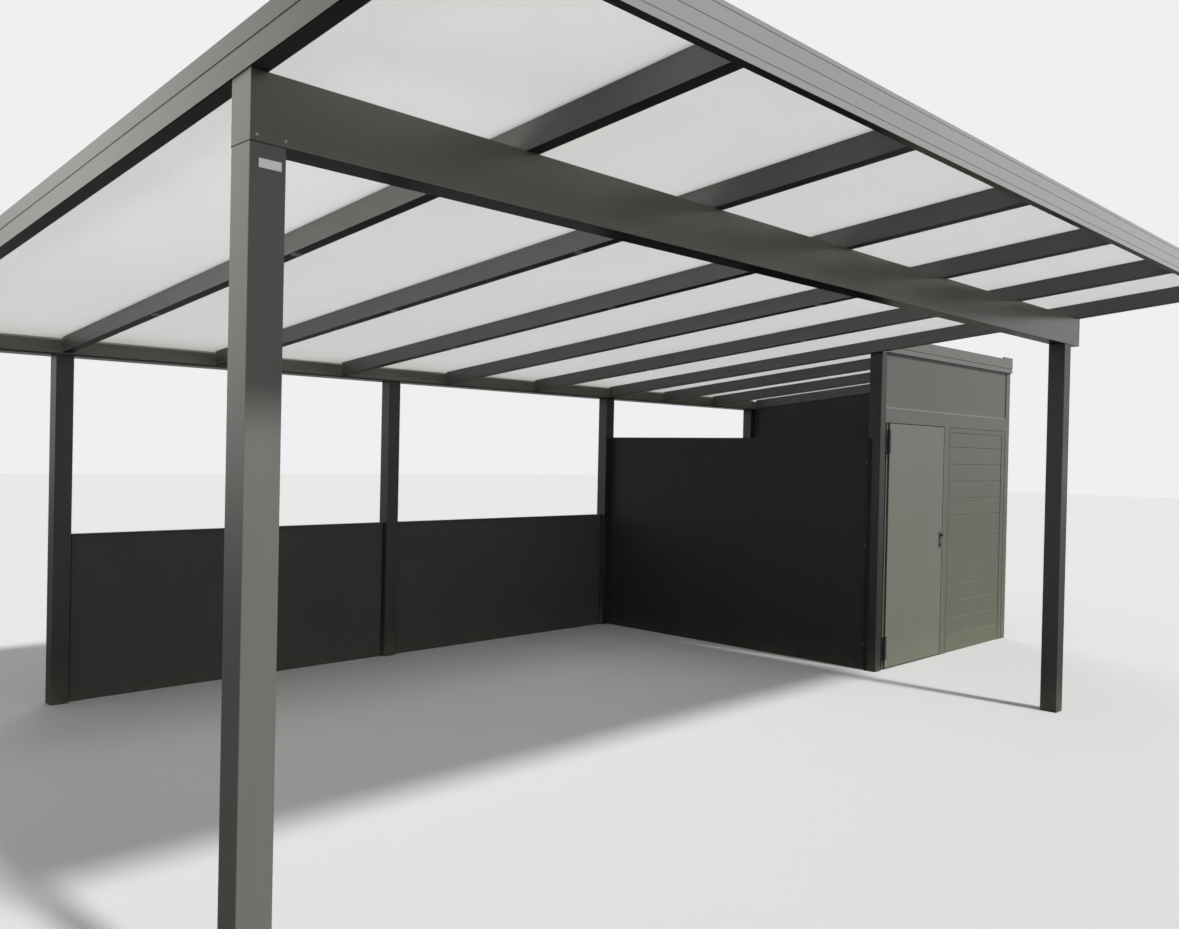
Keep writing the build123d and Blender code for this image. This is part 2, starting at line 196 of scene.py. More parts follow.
def powderCoat(name, look):
    paint = Paint(name)
    clouds = paint.noise(look["cloudScale"], 4)
    fine = paint.noise(look["cloudScale"] * coatDetail["fineScale"], 3)
    grain = paint.noise(coatDetail["grainScale"], 2)
    rain = paint.noise(1, 3, paint.stretched(look["rainStretch"]))
    up = paint.facing("Z")
    upright = (1 - abs(up) * coatDetail["uprightFade"]).held()
    height = paint.axis("Z")
    splash = (1 - height / look["splashHeight"]).held() ** 2 * patches(fine, coatDetail["splashPatches"])
    lying = ((up - coatDetail["dustFrom"]) * coatDetail["dustFade"]).held()
    dustFall = lying * patches(clouds, coatDetail["dustPatches"])
    dusty = (splash * look["splash"] + dustFall * look["dust"]).held()
    shade = 1 + (clouds - 0.5) * look["clouding"] + (rain - 0.5) * upright * look["rain"]
    shade = shade + (fine - 0.5) * look["clouding"] * coatDetail["fineShade"]
    # Painted shade: faces that look downwards are darkened by the look's underside share.
    below = patches(0 - up, coatDetail["undersideShadeFade"])
    shade = shade * (1 - below * look["underside"])
    film = (1 - height / look["filmHeight"]).held() * look["film"]
    tone = paint.mix(film, look["colour"], coatDetail["dustTone"])
    rough = look["roughness"] + (clouds - 0.5) * coatDetail["cloudRoughness"]
    rough = rough + (fine - 0.5) * coatDetail["fineRoughness"] + dusty * coatDetail["dustRoughness"]
    feeds = {
        "Base Color": paint.mix(dusty, paint.tint(tone, shade), coatDetail["dustTone"]),
        "Roughness": rough.held(),
        "Normal": paint.bump(grain, look["grain"], coatDetail["grainDepth"]),
        "IOR": look["ior"],
    }
    return paint.finish(paint.shader(feeds))


# All the anthracite pieces share one real powder coat. The colours below differ from piece to piece as
# painted light and shade: darker copies for the pieces under the roof and in shade, lighter ones for the
# fascia and the sunlit store front.
coatLook = {
    "colour": (0.158, 0.161, 0.142),
    "roughness": 0.36,
    "ior": 1.5,
    "grain": 0.3,
    "cloudScale": 1.1,
    "clouding": 0.16,
    "rain": 0.12,
    "rainStretch": (22, 22, 0.9),
    "splashHeight": 0.35,
    "splash": 0.35,
    "dust": 0.4,
    # underside: share of painted shade that darkens downward faces
    "underside": 0.75,
    "film": 0.0,
    "filmHeight": 2.4,
}
frameCoat = powderCoat("posts_anthracite_coat", coatLook)
beamLook = {
    **coatLook,
    "colour": (0.190, 0.178, 0.157),
    "roughness": 0.2,
    "rainStretch": (3, 12, 12),
    "clouding": 0.14,
    # Painted shade: the beam's and gutter's undersides are darkened almost to black.
    "underside": 0.98,
}
beamCoat = powderCoat("beam_anthracite_coat", beamLook)
gutterCoat = powderCoat("gutter_anthracite_coat", {**beamLook, "colour": (0.168, 0.159, 0.138)})
# Painted shade: the rafters, verge rafters and cap strips are a darker copy of the coat, for the shade
# under the roof.
rafterShadeLook = {**coatLook, "colour": (0.090, 0.093, 0.085), "rainStretch": (14, 1.2, 14), "rain": 0.08}
rafterShadeCoat = powderCoat("rafter_painted_shade_coat", rafterShadeLook)
# Painted sheen: the front fascia is a much lighter copy of the coat, standing in for the sky's reflection
# on it.
fasciaSheenLook = {
    **coatLook,
    "colour": (0.292, 0.294, 0.281),
    "roughness": 0.22,
    "rainStretch": (1.4, 30, 30),
    "rain": 0.1,
    "underside": 0.85,
}
fasciaSheenCoat = powderCoat("fascia_painted_sheen_coat", fasciaSheenLook)
vergeLook = {**fasciaSheenLook, "colour": (0.116, 0.118, 0.102), "rainStretch": (30, 1.4, 30)}
vergeCoat = powderCoat("verge_anthracite_coat", vergeLook)
storeTrimLook = {**coatLook, "colour": (0.138, 0.145, 0.128), "underside": 0.1}
storeTrimCoat = powderCoat("store_trim_anthracite_coat", storeTrimLook)
# Painted shade: the wall panels, low screens, edging and cap rails are one panel coat, made darker or
# lighter per piece to stand in for the shade under the roof; the near wall and the black edging are the
# darkest.
panelShadeLook = {
    **coatLook,
    "colour": (0.042, 0.043, 0.040),
    "roughness": 0.55,
    "ior": 1.33,
    "clouding": 0.22,
    "splash": 0.12,
}
panelShadeCoat = powderCoat("wall_panel_painted_shade_coat", panelShadeLook)
lowScreenCoat = powderCoat("low_screen_coat", {**panelShadeLook, "colour": (0.082, 0.083, 0.075)})
nearWallShadeCoat = powderCoat("near_wall_painted_shade_coat", {**panelShadeLook, "colour": (0.028, 0.029, 0.026)})
edgeShadeCoat = powderCoat("panel_edging_painted_shade_coat", {**panelShadeLook, "colour": (0.014, 0.014, 0.013)})
capRailCoat = powderCoat("cap_rail_coat", {**panelShadeLook, "colour": (0.07, 0.072, 0.07)})
# Painted shade: the rear posts, the door post and the far front post are darker copies of the posts'
# coat, standing in for shade that falls on them.
rearPostShadeCoat = powderCoat("rear_posts_painted_shade_coat", {**coatLook, "colour": (0.050, 0.050, 0.044)})
doorPostShadeCoat = powderCoat("door_post_painted_shade_coat", {**coatLook, "colour": (0.026, 0.027, 0.025)})
farPostShadeCoat = powderCoat("far_posts_painted_shade_coat", {**coatLook, "colour": (0.048, 0.050, 0.044)})
doorLook = {**coatLook, "colour": (0.140, 0.145, 0.126), "roughness": 0.38, "clouding": 0.2, "film": 0.26}
doorCoat = powderCoat("door_skin_coat", doorLook)
boardCoat = powderCoat("store_board_coat", {**doorLook, "colour": (0.094, 0.101, 0.083), "rain": 0.16})
storeFrameCoat = powderCoat("store_frame_coat", {**doorLook, "colour": (0.098, 0.104, 0.090)})


# Opal sheet: satin underside, light from above comes through, a few specks and some dirt by the gutter
opalLook = {
    "colour": (0.857, 0.855, 0.845),
    "roughness": 0.34,
    "topRoughness": 0.2,
    "roughClouding": 0.1,
    "ior": 1.49,
    "through": 0.72,
    "cloudScale": 1.7,
    "clouding": 0.035,
    "specks": 0.12,
    "speckScale": 9,
    "speckSize": 0.035,
    "dirtTone": (0.52, 0.53, 0.47),
    "dirtLength": 0.5,
    "dirtPatches": (1.4, 0.2),
    "dirt": 0.5,
}


def opalSheet(look):
    paint = Paint("opal_roof_sheet")
    clouds = paint.noise(look["cloudScale"], 3)
    feeds = {"Vector": paint.place, "Scale": look["speckScale"]}
    spots = paint.node("ShaderNodeTexVoronoi", None, feeds, pick="Distance")
    specks = (spots < look["speckSize"]) * look["specks"]
    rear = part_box("rear_gutter_beam")[0].y
    dirt = (1 - (rear - paint.axis("Y")) / look["dirtLength"]).held() ** 2
    dirt = dirt * patches(clouds, look["dirtPatches"])
    shade = 1 + (clouds - 0.5) * look["clouding"] - specks
    colour = paint.mix(dirt * look["dirt"], paint.tint(look["colour"], shade), look["dirtTone"])
    weathered = (paint.facing("Z") > 0.5) * look["topRoughness"]
    skin = paint.shader({
        "Base Color": colour,
        "Roughness": (look["roughness"] + weathered + (clouds - 0.5) * look["roughClouding"]).held(),
        "IOR": look["ior"],
    })
    glow = paint.node("ShaderNodeBsdfTranslucent", None, {"Color": colour})
    return paint.finish(paint.node("ShaderNodeMixShader", None, {0: look["through"], 1: skin, 2: glow}))


opalCoat = opalSheet(opalLook)


# Small fittings: a plain finish with light clouding and a fine grain
fittingDetail = {"grainScale": 20, "grain": 0.15, "grainDepth": 0.0002, "roughClouding": 0.15}


def plainFinish(name, colour, roughness, metallic=0.0, clouding=0.1, scale=60):
    paint = Paint(name)
    clouds = paint.noise(scale, 3)
    grain = paint.noise(scale * fittingDetail["grainScale"], 2)
    feeds = {
        "Base Color": paint.tint(colour, 1 + (clouds - 0.5) * clouding),
        "Roughness": (roughness + (clouds - 0.5) * fittingDetail["roughClouding"]).held(),
        "Metallic": metallic,
        "Normal": paint.bump(grain, fittingDetail["grain"], fittingDetail["grainDepth"]),
    }
    return paint.finish(paint.shader(feeds))


leafLow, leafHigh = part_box("door_leaf")
handleLook = {
    "plate": (0.052, 0.054, 0.049),
    "knob": (0.014, 0.014, 0.014),
    "plateFront": leafLow.y - 0.0052,
    "roughness": 0.46,
    "knobPolish": 0.1,
    "clouding": 0.12,
    "cloudScale": 90,
    "grainScale": 1400,
}


def handleFinish(look):
    # The plate is coated like the leaf; what stands proud of it, the knob and the cylinder, is black.
    paint = Paint("handle_coat")
    clouds = (paint.noise(look["cloudScale"], 3) - 0.5) * look["clouding"]
    grain = paint.noise(look["grainScale"], 2)
    proud = paint.axis("Y") < look["plateFront"]
    feeds = {
        "Base Color": paint.tint(paint.mix(proud, look["plate"], look["knob"]), 1 + clouds),
        "Roughness": (look["roughness"] + clouds - proud * look["knobPolish"]).held(),
        "Normal": paint.bump(grain, fittingDetail["grain"], fittingDetail["grainDepth"]),
    }
    return paint.finish(paint.shader(feeds))


hingeBlack = plainFinish("hinge_black", (0.012, 0.012, 0.012), roughness=0.45)
handleCoat = handleFinish(handleLook)
rubber = plainFinish("seal_rubber", (0.014, 0.014, 0.014), roughness=0.7)
screwSteel = plainFinish(
    "screw_steel", (0.46, 0.46, 0.45), roughness=0.37, metallic=1.0, clouding=0.3, scale=200
)
coatedScrew = plainFinish(
    "screw_coated", (0.16, 0.16, 0.15), roughness=0.4, clouding=0.2, scale=200
)
plateWhite = plainFinish(
    "blank_plate_white", (0.86, 0.86, 0.85), roughness=0.38, metallic=0.6, clouding=0.04, scale=40
)
endAluminium = plainFinish(
    "sheet_end_aluminium", (0.42, 0.42, 0.41), roughness=0.42, metallic=0.9, clouding=0.15, scale=30
)
brushBlack = plainFinish(
    "door_sweep_brush", (0.02, 0.02, 0.019), roughness=0.85, clouding=0.5, scale=400
)
lampRim = plainFinish(
    "spot_rim_steel", (0.72, 0.72, 0.70), roughness=0.38, metallic=0.8, clouding=0.2, scale=120
)
lampLens = plainFinish(
    "spot_lens_frosted", (0.62, 0.62, 0.58), roughness=0.5, clouding=0.05, scale=80
)

finishes = {
    frameCoat: ["near_front_post", "front_beam_end_caps"],
    storeFrameCoat: [
        "store_far_front_post",
        "door_hinge_jamb",
        "door_closing_stile",
        "store_transom_rail",
    ],
    rearPostShadeCoat: ["near_rear_post", "middle_rear_post", "store_near_rear_post", "store_far_rear_post"],
    doorPostShadeCoat: ["store_door_post"],
    farPostShadeCoat: ["far_front_post"],
    beamCoat: ["front_beam"],
    gutterCoat: ["rear_gutter_beam", "gutter_end_caps"],
    rafterShadeCoat: [
        "carport_rafters",
        "store_rafters",
        "near_verge_rafter",
        "far_verge_rafter",
        "store_end_rafter",
        "carport_cap_strips",
        "store_cap_strips",
    ],
    fasciaSheenCoat: ["front_fascia"],
    vergeCoat: ["near_verge_trim", "far_verge_trim"],
    storeTrimCoat: ["store_verge_trim", "store_fascia"],
    opalCoat: ["carport_roof_sheets", "store_roof_sheets"],
    panelShadeCoat: ["store_far_wall", "store_rear_wall"],
    lowScreenCoat: ["rear_low_panels"],
    nearWallShadeCoat: ["store_near_wall"],
    edgeShadeCoat: ["low_panel_side_bars", "near_wall_side_bars", "far_wall_side_bars", "rear_wall_side_bars"],
    capRailCoat: ["low_panel_cap_rails"],
    boardCoat: ["store_front_boards", "front_board_frame", "store_head_panel"],
    doorCoat: ["door_leaf"],
    hingeBlack: ["hinge_post_plates", "hinge_door_plates"],
    handleCoat: ["door_handle"],
}
for coat, names in finishes.items():
    for name in names:
        nodes[name].data.materials.clear()
        nodes[name].data.materials.append(coat)
print("finishes given to", sum(len(names) for names in finishes.values()), "frame pieces")


# Roof geometry read from the frame
roof = {"stemTop": 0.114, "rafterWidth": 0.06, "rafterCount": 5}
rafterLow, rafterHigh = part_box("carport_rafters")
roofFall = (rafterHigh.z - roof["stemTop"] - rafterLow.z) / (rafterHigh.y - rafterLow.y)
roofTilt = -math.atan(roofFall)
rafterPitch = (rafterHigh.x - rafterLow.x - roof["rafterWidth"]) / (roof["rafterCount"] - 1)


def underside(y):
    return rafterLow.z + roofFall * (rafterHigh.y - y)


def rafterCentre(number):
    return rafterLow.x + roof["rafterWidth"] / 2 + rafterPitch * (number - 1)


# Mesh helpers
def deselectAll():
    bpy.ops.object.select_all(action="DESELECT")


def pickFaces(test):
    mesh = bmesh.from_edit_mesh(bpy.context.object.data)
    bpy.ops.mesh.select_all(action="DESELECT")
    for face in mesh.faces:
        face.select_set(bool(test(face)))
    mesh.select_flush_mode()
    bmesh.update_edit_mesh(bpy.context.object.data)


def pickEdges(test):
    mesh = bmesh.from_edit_mesh(bpy.context.object.data)
    bpy.ops.mesh.select_all(action="DESELECT")
    for edge in mesh.edges:
        edge.select_set(bool(test(edge)))
    bmesh.update_edit_mesh(bpy.context.object.data)


def settled(piece, name):
    # Puts the object's place into its mesh.
    piece.name = name
    deselectAll()
    piece.select_set(True)
    bpy.context.view_layer.objects.active = piece
    bpy.ops.object.transform_apply(location=True, rotation=True, scale=True)
    return piece


def plate(name, low, high, edge, coat):
    # A thin plate or bar with softened edges.
    deselectAll()
    middle = (Vector(low) + Vector(high)) / 2
    bpy.ops.mesh.primitive_cube_add(size=1, location=middle)
    piece = bpy.context.object
    piece.scale = Vector(high) - Vector(low)
    settled(piece, name)
    bpy.ops.object.mode_set(mode="EDIT")
    bpy.ops.mesh.select_all(action="SELECT")
    bpy.ops.mesh.bevel(offset=edge, segments=2, affect="EDGES")
    bpy.ops.object.mode_set(mode="OBJECT")
    piece.data.materials.append(coat)
    return piece


def copyTo(master, name, place):
    piece = master.copy()
    piece.data = master.data.copy()
    piece.data.transform(place)
    piece.name = name
    bpy.context.scene.collection.objects.link(piece)
    return piece


def joined(pieces, name):
    deselectAll()
    for piece in pieces:
        piece.select_set(True)
    bpy.context.view_layer.objects.active = pieces[0]
    bpy.ops.object.join()
    pieces[0].name = name
    return pieces[0]


def turned(point, direction):
    # Places a head that was modelled looking along +Z so that it looks along direction.
    turn = Vector(direction).to_track_quat("Z", "Y").to_matrix().to_4x4()
    return Matrix.Translation(point) @ turn


def solidBoxes(name):
    # Lowest and highest corner of each separate solid in a frame piece, from left to right.
    solids = bmesh.new()
    solids.from_mesh(nodes[name].data)
    bmesh.ops.remove_doubles(solids, verts=solids.verts, dist=1e-5)
    waiting = set(solids.verts)
    boxes = []
    while waiting:
        shell = [waiting.pop()]
        for vert in shell:
            for edge in vert.link_edges:
                other = edge.other_vert(vert)
                if other in waiting:
                    waiting.remove(other)
                    shell.append(other)
        low = Vector(min(vert.co[axis] for vert in shell) for axis in range(3))
        high = Vector(max(vert.co[axis] for vert in shell) for axis in range(3))
        boxes.append((low, high))
    solids.free()
    return sorted(boxes, key=lambda box: box[0].x)


# Spot lights let flush into the rafters' undersides
spot = {
    "sides": 40,
    "smooth": 35,
    "radius": 0.025,
    "rim": 0.0045,
    "proud": 0.0015,
    "sunk": 0.001,
    "odd": (1.54, 3.07),
    "even": (0.765, 2.28),
    "lensRecess": 0.0012,
    "lensDish": 0.3,
    "rimSoft": 0.3,
}


def makeSpot():
    deselectAll()
    depth = spot["proud"] + spot["sunk"]
    middle = (spot["proud"] - spot["sunk"]) / 2
    place = {"depth": depth, "location": (0, 0, middle)}
    bpy.ops.mesh.primitive_cylinder_add(vertices=spot["sides"], radius=spot["radius"], **place)
    lamp = settled(bpy.context.object, "spot_master")
    lamp.data.materials.append(lampRim)
    lamp.data.materials.append(lampLens)
    bpy.ops.object.mode_set(mode="EDIT")
    pickFaces(lambda face: face.normal.z > 0.9)
    bpy.ops.mesh.inset(thickness=spot["rim"], depth=0)
    bpy.ops.mesh.inset(thickness=spot["lensRecess"], depth=-spot["lensRecess"])
    lamp.active_material_index = 1
    bpy.ops.object.material_slot_assign()
    dish = spot["lensDish"]
    bpy.ops.mesh.inset(thickness=spot["radius"] * dish, depth=spot["lensRecess"] * dish)
    pickEdges(lambda edge: edge.calc_face_angle(0) > 1.2 and all(v.co.z > 0 for v in edge.verts))
    bpy.ops.mesh.bevel(offset=spot["proud"] * spot["rimSoft"], segments=2, affect="EDGES")
    bpy.ops.object.mode_set(mode="OBJECT")
    bpy.ops.object.shade_smooth_by_angle(angle=math.radians(spot["smooth"]))
    return lamp


spotMaster = makeSpot()
downwards = Vector((0, -roofFall, -1)).normalized()
spotTotal = 0
for number in range(1, roof["rafterCount"] + 1):
    for y in spot["odd"] if number % 2 else spot["even"]:
        spotTotal += 1
        name = f"rafter_spot_{spotTotal:02d}"
        lamp = copyTo(spotMaster, name, turned((rafterCentre(number), y, underside(y)), downwards))
        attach(lamp, "carport")
bpy.data.objects.remove(spotMaster)
print("spot lights:", spotTotal)


# Screws: one domed head with a socket, copied to each place
screw = {
    "sides": 16,
    "smooth": 40,
    "radius": 0.0045,
    "height": 0.0026,
    "dome": 0.00143,
    "socket": 0.0019,
    "socketDepth": 0.0014,
    "socketTaper": 0.000285,
}


def makeScrew(name, coat):
    deselectAll()
    place = {"depth": screw["height"], "location": (0, 0, screw["height"] / 2)}
    bpy.ops.mesh.primitive_cylinder_add(vertices=screw["sides"], radius=screw["radius"], **place)
    head = settled(bpy.context.object, name)
    head.data.materials.append(coat)
    bpy.ops.object.mode_set(mode="EDIT")
    pickEdges(lambda edge: all(v.co.z > screw["height"] * 0.9 for v in edge.verts))
    bpy.ops.mesh.bevel(offset=screw["dome"], segments=3, affect="EDGES")
    pickFaces(lambda face: face.normal.z > 0.98)
    bpy.ops.mesh.inset(thickness=screw["radius"] - screw["dome"] - screw["socket"], depth=0)
    bpy.ops.mesh.inset(thickness=screw["socketTaper"], depth=-screw["socketDepth"])
    bpy.ops.object.mode_set(mode="OBJECT")
    bpy.ops.object.shade_smooth_by_angle(angle=math.radians(screw["smooth"]))
    return head


def screwRow(name, master, points, direction, body):
    heads = [copyTo(master, f"{name}_{n}", turned(point, direction)) for n, point in enumerate(points)]
    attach(joined(heads, name), body)


steelScrew = makeScrew("steel_screw_master", screwSteel)
coatScrew = makeScrew("coated_screw_master", coatedScrew)

# Two screws fix the beam over each front post, counted from the beam's end
beamScrews = {"fromEnd": (0.020, 0.107), "rise": 0.017}
for post, side in (("near_front_post", 1), ("far_front_post", -1)):
    low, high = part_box(post)
    end = low.x if side > 0 else high.x
    row = [(end + side * along, low.y, high.z + beamScrews["rise"]) for along in beamScrews["fromEnd"]]
    screwRow(f"beam_screws_{post}", steelScrew, row, (0, -1, 0), "carport")

# Three screws at each end of the store's walls
wallScrews = {"fromEnd": 0.0065, "heights": (0.212, 1.019, 1.71)}


def wallScrewRows(wall, axis, outwards):
    low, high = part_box(wall)
    face = high if max(outwards) > 0 else low
    ends = {"first": low[axis] + wallScrews["fromEnd"], "last": high[axis] - wallScrews["fromEnd"]}
    for end, along in ends.items():
        points = [(face.x, along, z) if axis == 1 else (along, face.y, z) for z in wallScrews["heights"]]
        screwRow(f"{wall}_screws_{end}", steelScrew, points, outwards, "carport")


wallScrewRows("store_near_wall", 1, (-1, 0, 0))
wallScrewRows("store_far_wall", 1, (1, 0, 0))
wallScrewRows("store_rear_wall", 0, (0, 1, 0))

# Hinge plates: three screws in the leaf and two in the jamb at each hinge
hingeScrews = {"spread": 0.07, "leafInset": 0.0075, "jambInset": 0.0115, "plateFront": 0.003}
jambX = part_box("store_door_post")[1].x + hingeScrews["jambInset"]
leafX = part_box("hinge_door_plates")[1].x - hingeScrews["leafInset"]
plateFace = leafLow.y - hingeScrews["plateFront"]
hinges = sorted(solidBoxes("hinge_door_plates"), key=lambda box: box[0].z)
for place, (low, high) in zip(("low", "top"), hinges):
    middle = (low.z + high.z) / 2
    ends = (middle - hingeScrews["spread"], middle + hingeScrews["spread"])
    leafPoints = [(leafX, plateFace, z) for z in (ends[0], middle, ends[1])]
    jambPoints = [(jambX, plateFace, z) for z in ends]
    screwRow(f"{place}_hinge_leaf_screws", coatScrew, leafPoints, (0, -1, 0), "door")
    screwRow(f"{place}_hinge_jamb_screws", coatScrew, jambPoints, (0, -1, 0), "carport")

# Roof cap strips are screwed down through their middle
capScrews = {"pitch": 0.35, "fromEnd": 0.08, "stripThickness": 0.006}


def capScrewRow(name, x, y0, y1):
    count = int((y1 - y0 - 2 * capScrews["fromEnd"]) / capScrews["pitch"]) + 1
    step = (y1 - y0 - 2 * capScrews["fromEnd"]) / (count - 1)
    rise = roof["stemTop"] + capScrews["stripThickness"]
    ys = [y0 + capScrews["fromEnd"] + step * n for n in range(count)]
    row = [(x, y, underside(y) + rise) for y in ys]
    screwRow(name, steelScrew, row, -downwards, "carport")


stripLow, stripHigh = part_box("carport_cap_strips")
for number in range(1, roof["rafterCount"] + 1):
    capScrewRow(f"cap_strip_screws_{number}", rafterCentre(number), stripLow.y, stripHigh.y)
storeStripLow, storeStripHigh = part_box("store_cap_strips")
for number, x in enumerate((storeStripLow.x, storeStripHigh.x - roof["rafterWidth"]), 1):
    x += roof["rafterWidth"] / 2
    capScrewRow(f"store_cap_strip_screws_{number}", x, storeStripLow.y, storeStripHigh.y)

# Handle plate: one screw in its middle and one low down
handle = {
    "fromEdge": 0.041,
    "plateFront": 0.005,
    "lockReach": 0.006,
    "lockDrop": 0.042,
    "screwDrops": (0.062, 0),
}
handleLow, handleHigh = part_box("door_handle")
handleMiddle = Vector((leafHigh.x - handle["fromEdge"], leafLow.y - handle["plateFront"], 0))
handleMiddle.z = (handleLow.z + handleHigh.z) / 2
handlePoints = [handleMiddle - Vector((0, 0, drop)) for drop in handle["screwDrops"]]
screwRow("handle_plate_screws", coatScrew, handlePoints, (0, -1, 0), "door")
for master in (steelScrew, coatScrew):
    bpy.data.objects.remove(master)
print("screws set")


# Blank plate on the near front post
blank = {
    "fromEdge": 0.027,
    "width": 0.069,
    "height": 0.026,
    "below": 0.045,
    "thickness": 0.0012,
    "edge": 0.0004,
}
low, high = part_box("near_front_post")
left = low.x + blank["fromEdge"]
top = high.z - blank["below"]
plateLow = (left, low.y - blank["thickness"], top - blank["height"])
plateHigh = (left + blank["width"], low.y, top)
blankPlate = plate("post_blank_plate", plateLow, plateHigh, blank["edge"], plateWhite)
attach(blankPlate, "carport")
print("blank plate fixed")


# Dark joints where the beam sits on the front posts
jointSeal = {"height": 0.0035, "proud": 0.0004, "edge": 0.0001}
for post in ("near_front_post", "far_front_post"):
    low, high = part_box(post)
    reach = Vector((jointSeal["proud"], jointSeal["proud"], 0))
    sealLow = Vector((low.x, low.y, high.z - jointSeal["height"])) - reach
    joint = plate(f"{post}_joint", sealLow, high + reach, jointSeal["edge"], rubber)
    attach(joint, "carport")

# Black strip on the rear post beside the near wall's end: painted shade in the corner between the wall
# and the post
cornerShadeStrip = {"thickness": 0.0015, "clear": 0.004, "edge": 0.0004}
low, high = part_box("store_near_rear_post")
wallLow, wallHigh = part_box("store_near_wall")
stripLow = (low.x + cornerShadeStrip["edge"], low.y - cornerShadeStrip["thickness"], cornerShadeStrip["clear"])
stripHigh = (wallLow.x, low.y, wallHigh.z)
strip = plate("near_wall_corner_shade_strip", stripLow, stripHigh, cornerShadeStrip["edge"], rubber)
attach(strip, "carport")

# The far wall has one too, painted shade beside the post, and a black strip along its top that paints the
# end rafter's shadow on the wall
farShadeStrip = {"width": 0.077, "topShadow": 0.022}
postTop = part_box("store_far_rear_post")[1].z
wallLow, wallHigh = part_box("store_far_wall")
stripLow = (wallLow.x - cornerShadeStrip["thickness"], wallHigh.y - farShadeStrip["width"], cornerShadeStrip["clear"])
stripHigh = (wallLow.x, wallHigh.y, postTop)
strip = plate("far_wall_corner_shade_strip", stripLow, stripHigh, cornerShadeStrip["edge"], rubber)
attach(strip, "carport")
reach = wallHigh.y - farShadeStrip["width"] - wallLow.y
middle = Vector((wallLow.x - cornerShadeStrip["thickness"] / 2, wallLow.y + reach / 2, 0))
middle.z = underside(middle.y) - farShadeStrip["topShadow"] / 2
half = Vector((cornerShadeStrip["thickness"] / 2, reach / 2 / math.cos(roofTilt), farShadeStrip["topShadow"] / 2))
seal = plate("far_wall_top_shadow_strip", middle - half, middle + half, cornerShadeStrip["edge"], rubber)
pivot = Matrix.Translation(middle)
seal.data.transform(pivot @ Matrix.Rotation(roofTilt, 4, "X") @ pivot.inverted())
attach(seal, "carport")

# Behind the store fascia: a bar along the head panel's top edge and a closer between the rafters
closing = {"front": 0.0005, "lap": 0.009, "rise": 0.097, "edge": 0.0005}
headLow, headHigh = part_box("store_head_panel")
fasciaLow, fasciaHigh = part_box("store_fascia")
closerY = fasciaHigh.y + closing["front"]
rafterFoot = underside(closerY)
barLow = (headLow.x, closerY, headHigh.z - closing["lap"])
barHigh = (headHigh.x, headLow.y, rafterFoot)
strips = [plate("head_panel_bar", barLow, barHigh, closing["edge"], storeTrimCoat)]
gaps = [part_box("store_door_post")[1].x]
for low, high in solidBoxes("store_rafters"):
    gaps += [low.x, high.x]
gaps.append(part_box("store_end_rafter")[0].x)
for x0, x1 in zip(gaps[::2], gaps[1::2]):
    stripLow = (x0, closerY, rafterFoot)
    stripHigh = (x1, headLow.y, rafterFoot + closing["rise"])
    strips.append(plate("closing_strip", stripLow, stripHigh, closing["edge"], storeTrimCoat))
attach(joined(strips, "store_fascia_closing_strips"), "carport")

# Cover strip in the store fascia's groove
cover = {
    "grooveLow": 0.018,
    "grooveHigh": 0.044,
    "grooveDepth": 0.012,
    "left": 0.0035,
    "line": 0.0012,
    "edge": 0.0006,
}
grooveBack = fasciaLow.y + cover["grooveDepth"]
coverLow = (fasciaLow.x, fasciaLow.y + cover["left"], fasciaLow.z + cover["grooveLow"])
coverHigh = (fasciaHigh.x, grooveBack, fasciaLow.z + cover["grooveHigh"] - cover["line"])
grooveCover = plate("store_fascia_groove_cover", coverLow, coverHigh, cover["edge"], storeTrimCoat)
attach(grooveCover, "carport")

# Liners in the front fascia's two channels and its notch, which leave only fine lines
liner = {
    "notch": 0.024,
    "notchHalf": 0.0013,
    "channels": (0.059, 0.107),
    "channelWidth": 0.015,
    "back": 0.0025,
    "left": 0.0011,
    "edge": 0.0003,
}
frontLow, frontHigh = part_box("front_fascia")
bands = [(liner["notch"] - liner["notchHalf"], liner["notch"] + liner["notchHalf"])]
for low in liner["channels"]:
    bands.append((low + liner["left"], low + liner["channelWidth"] - liner["left"]))
liners = []
for low, high in bands:
    linerLow = (frontLow.x, frontLow.y + liner["left"], frontLow.z + low)
    linerHigh = (frontHigh.x, frontLow.y + liner["back"], frontLow.z + high)
    liners.append(plate("fascia_liner", linerLow, linerHigh, liner["edge"], fasciaSheenCoat))
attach(joined(liners, "front_fascia_liners"), "carport")

# Black seal down the recess between the hinge jamb and the post, seen beside the door; it also paints the
# recess's shade
jambSealShade = {
    "recessWidth": 0.035,
    "recessDepth": 0.018,
    "inset": 0.004,
    "proud": 0.003,
    "clear": 0.006,
    "edge": 0.0006,
}
postLow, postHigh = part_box("store_door_post")
recessFace = postLow.y + jambSealShade["recessDepth"]
sealLow = (postHigh.x + jambSealShade["inset"], recessFace - jambSealShade["proud"], jambSealShade["clear"])
sealHigh = (postHigh.x + jambSealShade["recessWidth"] - jambSealShade["inset"], recessFace, leafHigh.z)
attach(plate("hinge_jamb_seal_and_shade", sealLow, sealHigh, jambSealShade["edge"], rubber), "carport")
print("joints and seals set")

